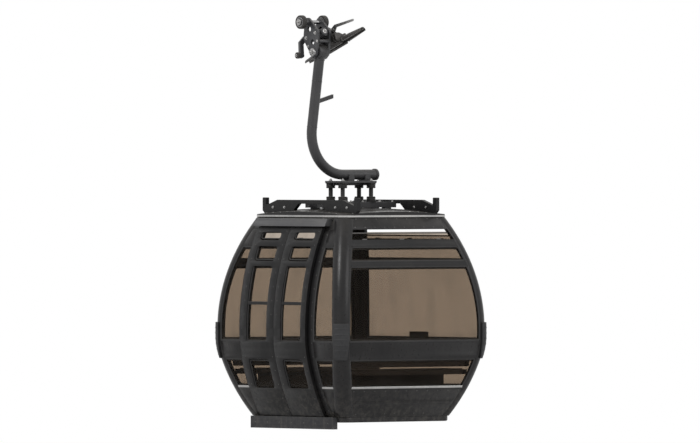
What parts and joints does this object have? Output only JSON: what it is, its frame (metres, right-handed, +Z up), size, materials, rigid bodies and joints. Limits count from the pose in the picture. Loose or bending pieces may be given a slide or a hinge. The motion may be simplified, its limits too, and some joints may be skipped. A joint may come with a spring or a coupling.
{
  "type": "cable car cabin",
  "caption": "Gondola lift cabin with rounded glazed walls and sliding doors, hung by a bent arm from a rope grip.",
  "frame": {"origin": "centre of the rope between the jaws", "axes": "+Z up, +X along the line, uphill, +Y to the inboard side; the doors are on the -Y side"},
  "size_m": [2.0436, 2.0668, 4.2164],
  "materials": {
    "body_paint": "satin",
    "frame_paint": "satin",
    "guard_plastic": "moulded",
    "smoked_glass": "smoked",
    "rail_aluminium": "anodised",
    "seat_plastic": "moulded",
    "damper_rubber": "matte",
    "hanger_paint": "galvanised and painted",
    "grip_paint": "semi-gloss",
    "jaw_steel": "forged",
    "shaft_steel": "turned",
    "wheel_metal": "cast",
    "wheel_tyre": "matte"
  },
  "bodies": {
    "grip": {"fixed_jaw": "jaw_steel", "closing_jaw": "jaw_steel", "jaw_shaft": "shaft_steel", "rope_guides": "jaw_steel", "grip_frame": "grip_paint", "hanger_pin": "shaft_steel", "spring_barrel": "grip_paint", "wheel_axle": "shaft_steel", "closing_lever": "grip_paint", "guide_horn": "shaft_steel"},
    "wheel_inner": {"wheel_inner_hub": "wheel_metal", "wheel_inner_tyre": "wheel_tyre"},
    "wheel_outer": {"wheel_outer_hub": "wheel_metal", "wheel_outer_tyre": "wheel_tyre"},
    "lever_roller": {"lever_roller": "wheel_tyre"},
    "door_front": {"door_front": "frame_paint", "door_front_glass": "smoked_glass"},
    "door_rear": {"door_rear": "frame_paint", "door_rear_glass": "smoked_glass"},
    "cabin": {"arm_spur": "hanger_paint", "backrest_front": "seat_plastic", "backrest_rear": "seat_plastic", "bench_front": "seat_plastic", "bench_rear": "seat_plastic", "corner_guards": "guard_plastic", "corner_post_front_door": "body_paint", "corner_post_front_inboard": "body_paint", "corner_post_rear_door": "body_paint", "corner_post_rear_inboard": "body_paint", "dampers": "damper_rubber", "door_jambs": "frame_paint", "door_sill": "rail_aluminium", "door_track": "rail_aluminium", "floor_pan": "body_paint", "hanger_arm": "hanger_paint", "hanger_head": "hanger_paint", "header_rails": "body_paint", "lower_panel_front": "body_paint", "lower_panel_inboard": "body_paint", "lower_panel_rear": "body_paint", "panels_door_side": "body_paint", "roof_frame": "hanger_paint", "roof_rail_door": "frame_paint", "roof_rail_inboard": "frame_paint", "roof_shell": "body_paint", "sill_box": "guard_plastic", "sill_rails": "body_paint", "vent_flaps": "smoked_glass", "window_bars": "frame_paint", "window_door_side": "smoked_glass", "window_front": "smoked_glass", "window_inboard": "smoked_glass", "window_rear": "smoked_glass"}
  },
  "joints": [
    {"name": "hanger_swing", "type": "hinge", "parent": "grip", "child": "cabin", "pos_m": [0, -0.205, -0.06], "axis": [0, 1, 0], "range_deg": [-66, 24]},
    {"name": "wheel_inner_spin", "type": "hinge", "parent": "grip", "child": "wheel_inner", "pos_m": [-0.09497, -0.085, 0.2474], "axis": [0, 1, 0], "continuous": true},
    {"name": "wheel_outer_spin", "type": "hinge", "parent": "grip", "child": "wheel_outer", "pos_m": [-0.09497, -0.375, 0.2474], "axis": [0, 1, 0], "continuous": true},
    {"name": "lever_roller_spin", "type": "hinge", "parent": "grip", "child": "lever_roller", "pos_m": [-0.13037, -0.391, -0.09289], "axis": [0, 1, 0], "continuous": true},
    {"name": "door_front_slide", "type": "slide", "parent": "cabin", "child": "door_front", "axis": [1, 0, 0], "range_m": [0, 0.39]},
    {"name": "door_rear_slide", "type": "slide", "parent": "cabin", "child": "door_rear", "axis": [-1, 0, 0], "range_m": [0, 0.39]}
  ],
  "couplings": [
    {"joint": "door_rear_slide", "follows": "door_front_slide", "ratio": 1}
  ]
}
